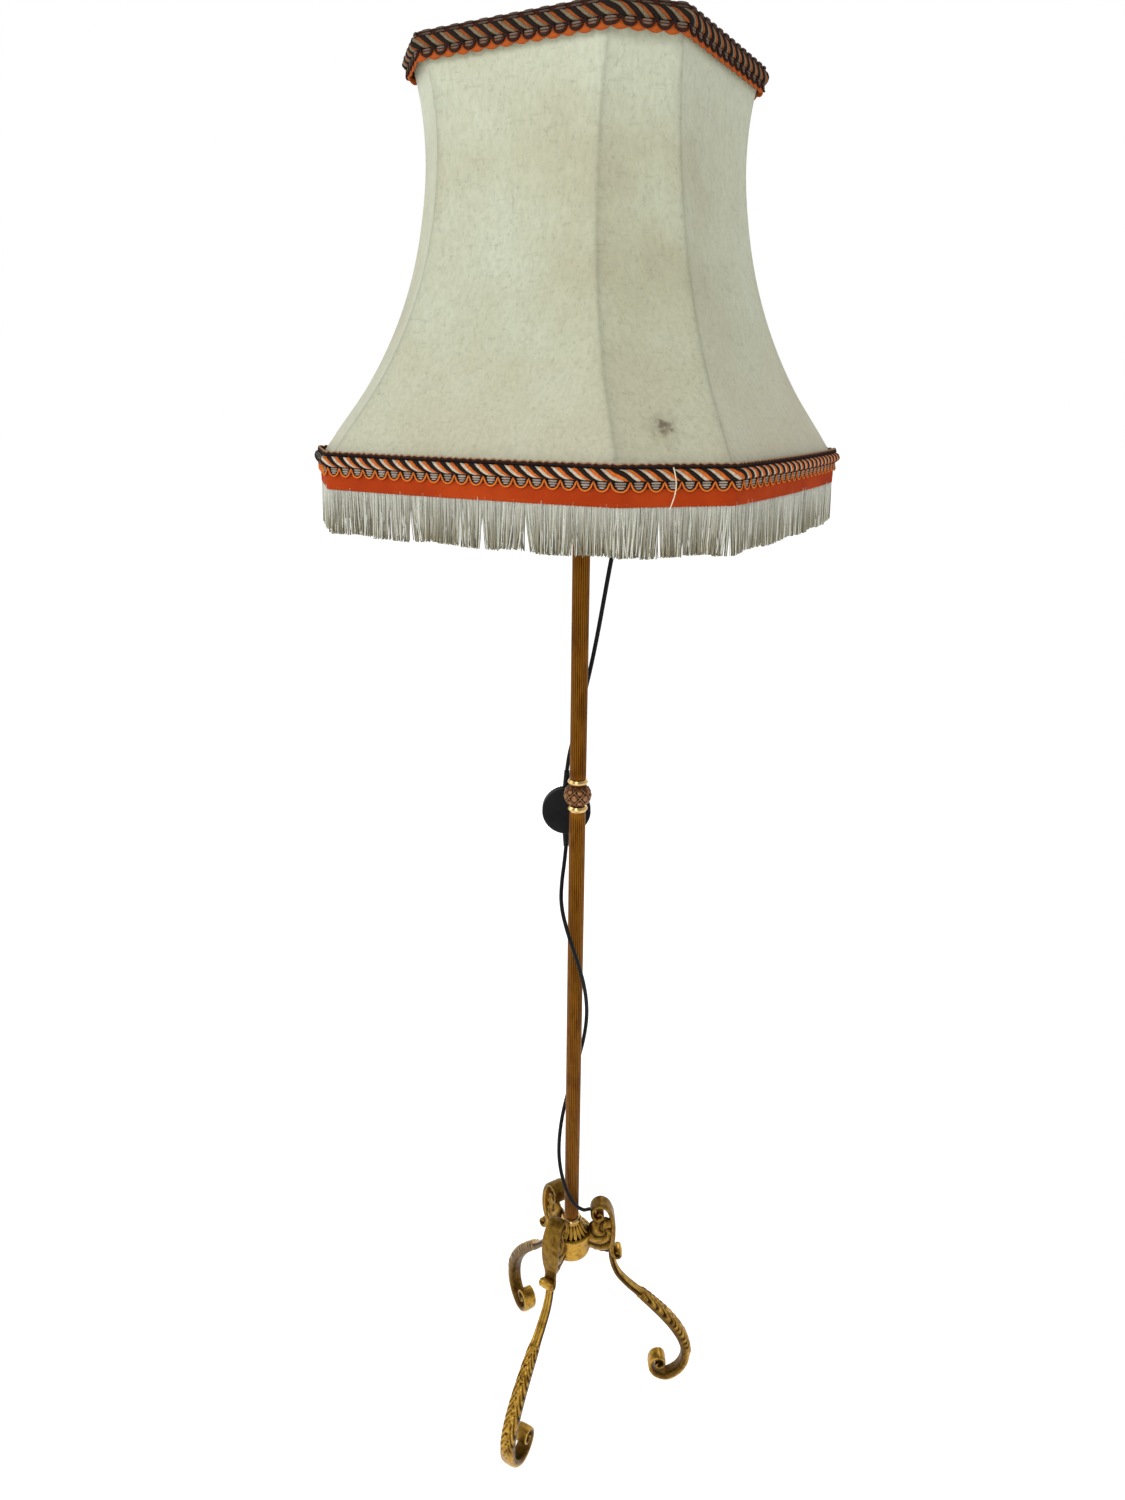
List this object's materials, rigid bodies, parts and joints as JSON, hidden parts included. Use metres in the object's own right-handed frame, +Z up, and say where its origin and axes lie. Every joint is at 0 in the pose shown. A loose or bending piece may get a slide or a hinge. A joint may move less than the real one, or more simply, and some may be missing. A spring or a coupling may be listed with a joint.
{
  "type": "tripod floor lamp",
  "caption": "Floor lamp on cast scroll legs, with a reeded brass pole, a bell-shaped parchment shade with braid and fringe, and a foot switch on its free cord.",
  "frame": {"origin": "on the floor, on the pole's axis", "axes": "+Z up along the pole, one leg towards -Y, the shade's wide sides face -Y, +X, +Y and -X"},
  "size_m": [0.4804, 0.5047, 1.699],
  "materials": {
    "cast_brass": "antique, dark patina in the relief, rubbed high spots",
    "pole_brass": "brown lacquered antique, satin",
    "bright_brass": "polished",
    "steel": "zinc plated",
    "frame_wire": "white coated wire",
    "holder_plastic": "moulded, satin",
    "ceramic": "glazed porcelain",
    "bulb_glass": "clear",
    "filament": "drawn wire",
    "parchment": "thin mottled parchment, satin",
    "braid": "twisted gimp in rust, grey and dark brown",
    "ribbon": "ribbed woven band",
    "fringe": "cut yarn fringe",
    "cord": "glossy flexible sheath",
    "tie": "woven hook band",
    "black_plastic": "moulded, satin"
  },
  "bodies": {
    "stand": {"base_nut": "steel", "base_washer": "steel", "bulb_cap": "steel", "bulb_contact": "steel", "bulb_glass": "bulb_glass", "bulb_insulator": "ceramic", "centre_contact": "steel", "coil_tie": "tie", "cord_coil": "cord", "cord_grip": "bright_brass", "cord_lower": "cord", "cord_tail": "cord", "cord_upper": "cord", "filament": "filament", "front_leg": "cast_brass", "glass_stem": "bulb_glass", "holder_cap": "holder_plastic", "holder_insert": "ceramic", "holder_shell": "holder_plastic", "hub_collar": "bright_brass", "hub_drum": "cast_brass", "hub_shoulder": "cast_brass", "knop": "cast_brass", "knop_ring_lower": "bright_brass", "knop_ring_upper": "bright_brass", "left_leg": "cast_brass", "leg_screws": "steel", "lower_pole": "pole_brass", "plug_body": "black_plastic", "plug_pins": "steel", "plug_relief": "black_plastic", "pole_cap": "pole_brass", "right_leg": "cast_brass", "screw_shell": "steel", "shade_ring": "holder_plastic", "switch_base": "black_plastic", "switch_contacts": "black_plastic", "switch_dome": "black_plastic", "switch_reliefs": "black_plastic", "switch_screws": "steel", "switch_spring": "steel", "terminal_screws": "steel", "tie_rod": "steel", "upper_pole": "pole_brass"},
    "shade": {"bottom_braid": "braid", "fitter_ring": "frame_wire", "fringe": "fringe", "narrow_panels": "parchment", "ribbon": "ribbon", "shade_arms": "frame_wire", "shade_bottom_wire": "frame_wire", "shade_ribs": "frame_wire", "shade_top_wire": "frame_wire", "top_braid": "braid", "wide_panels": "parchment"},
    "button": {"switch_button": "black_plastic"}
  },
  "joints": [
    {"name": "shade_turn", "type": "hinge", "parent": "stand", "child": "shade", "pos_m": [0, 0, 1.5123], "axis": [0, 0, 1], "continuous": true},
    {"name": "switch_press", "type": "slide", "parent": "stand", "child": "button", "axis": [0.4772, -0.8788, 0], "range_m": [0, 0.003], "stiffness_N_per_m": 600, "springref_m": -0.001}
  ]
}
